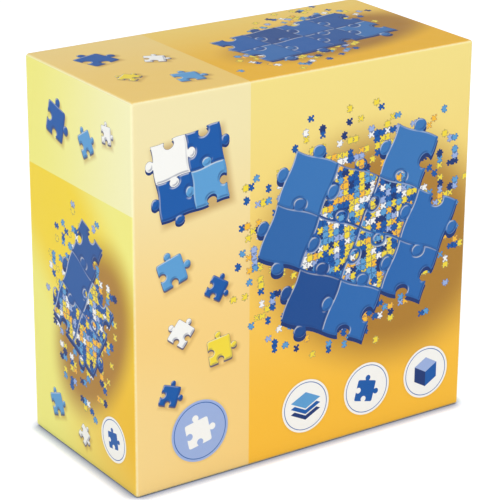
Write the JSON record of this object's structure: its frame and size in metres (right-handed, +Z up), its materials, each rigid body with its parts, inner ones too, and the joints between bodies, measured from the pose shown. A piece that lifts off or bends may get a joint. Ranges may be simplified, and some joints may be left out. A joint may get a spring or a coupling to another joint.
{
  "type": "jigsaw puzzle storage case",
  "caption": "Square rigid cardboard case, a lid over a base, standing on one side wall and holding nested trays shaped like jigsaw pieces for sorting puzzle pieces.",
  "frame": {"origin": "on the floor, under the middle of the closed case as it stands on its side wall", "axes": "+X to the right, -Y out of the large printed front face of the lid, +Z up; the lid and the trays come off along -Y"},
  "size_m": [0.208, 0.104, 0.208],
  "materials": {
    "printed_paper": "printed paper with a satin varnish",
    "grey_board": "uncoated grey board, 1.5 mm",
    "stay_paper": "gummed kraft corner stay",
    "tray_plastic": "moulded blue plastic, satin gloss"
  },
  "bodies": {
    "base": {"base_board": "grey_board", "base_wrap": "printed_paper", "base_corner_stay_bottom_left": "stay_paper", "base_corner_stay_bottom_right": "stay_paper", "base_corner_stay_top_left": "stay_paper", "base_corner_stay_top_right": "stay_paper"},
    "lid": {"lid_board": "grey_board", "lid_wrap": "printed_paper", "lid_corner_stay_bottom_left": "stay_paper", "lid_corner_stay_bottom_right": "stay_paper", "lid_corner_stay_top_left": "stay_paper", "lid_corner_stay_top_right": "stay_paper"},
    "tray_1": {"tray_1": "tray_plastic"},
    "tray_2": {"tray_2": "tray_plastic"},
    "tray_3": {"tray_3": "tray_plastic"},
    "tray_4": {"tray_4": "tray_plastic"},
    "tray_5": {"tray_5": "tray_plastic"},
    "tray_6": {"tray_6": "tray_plastic"},
    "tray_7": {"tray_7": "tray_plastic"},
    "tray_8": {"tray_8": "tray_plastic"}
  },
  "joints": [
    {"name": "lid_slide", "type": "slide", "parent": "base", "child": "lid", "axis": [0, -1, 0], "range_m": [0, 0.45]},
    {"name": "tray_1_slide", "type": "slide", "parent": "base", "child": "tray_1", "axis": [0, -1, 0], "range_m": [0, 0.108]},
    {"name": "tray_2_slide", "type": "slide", "parent": "base", "child": "tray_2", "axis": [0, -1, 0], "range_m": [0, 0.135]},
    {"name": "tray_3_slide", "type": "slide", "parent": "base", "child": "tray_3", "axis": [0, -1, 0], "range_m": [0, 0.162]},
    {"name": "tray_4_slide", "type": "slide", "parent": "base", "child": "tray_4", "axis": [0, -1, 0], "range_m": [0, 0.189]},
    {"name": "tray_5_slide", "type": "slide", "parent": "base", "child": "tray_5", "axis": [0, -1, 0], "range_m": [0, 0.216]},
    {"name": "tray_6_slide", "type": "slide", "parent": "base", "child": "tray_6", "axis": [0, -1, 0], "range_m": [0, 0.243]},
    {"name": "tray_7_slide", "type": "slide", "parent": "base", "child": "tray_7", "axis": [0, -1, 0], "range_m": [0, 0.27]},
    {"name": "tray_8_slide", "type": "slide", "parent": "base", "child": "tray_8", "axis": [0, -1, 0], "range_m": [0, 0.297]}
  ],
  "couplings": [
    {"joint": "tray_1_slide", "follows": "lid_slide", "ratio": 0.24},
    {"joint": "tray_2_slide", "follows": "lid_slide", "ratio": 0.3},
    {"joint": "tray_3_slide", "follows": "lid_slide", "ratio": 0.36},
    {"joint": "tray_4_slide", "follows": "lid_slide", "ratio": 0.42},
    {"joint": "tray_5_slide", "follows": "lid_slide", "ratio": 0.48},
    {"joint": "tray_6_slide", "follows": "lid_slide", "ratio": 0.54},
    {"joint": "tray_7_slide", "follows": "lid_slide", "ratio": 0.6},
    {"joint": "tray_8_slide", "follows": "lid_slide", "ratio": 0.66}
  ]
}
